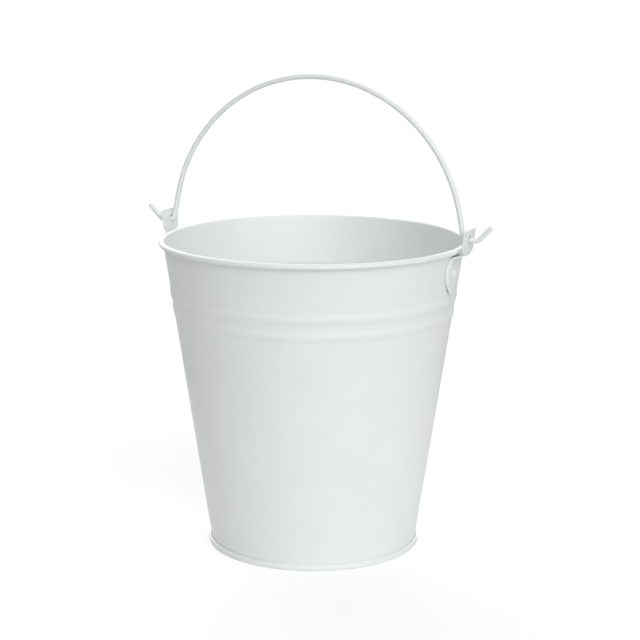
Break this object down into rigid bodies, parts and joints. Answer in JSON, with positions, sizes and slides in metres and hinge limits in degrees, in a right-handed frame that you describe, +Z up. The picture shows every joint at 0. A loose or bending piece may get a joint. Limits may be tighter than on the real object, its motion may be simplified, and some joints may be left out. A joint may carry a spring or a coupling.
{
  "type": "florist bucket",
  "caption": "Tapered white sheet-metal bucket with a rolled wired rim, raised beads, a seamed bottom, riveted ears and a swinging wire bail.",
  "frame": {"origin": "on the floor under the middle of the bucket, the bottom centre of the whole box", "axes": "+Z up; +X through the right ear, so the bail swings about X; +Y towards the back"},
  "size_m": [0.2676, 0.22, 0.3373],
  "materials": {
    "white_paint": "satin white powder coat on sheet steel",
    "bail_paint": "satin white powder coat on steel wire",
    "bare_steel": "plain drawn steel wire"
  },
  "bodies": {
    "bucket": {"wall": "white_paint", "rim_wire": "bare_steel", "bottom_pan": "white_paint", "ear_left": "white_paint", "ear_right": "white_paint", "rivet_left": "white_paint", "rivet_right": "white_paint"},
    "bail": {"bail": "bail_paint"}
  },
  "joints": [
    {"name": "bail_swing", "type": "hinge", "parent": "bucket", "child": "bail", "pos_m": [0, 0, 0.2282], "axis": [1, 0, 0], "range_deg": [-92, 92]}
  ]
}
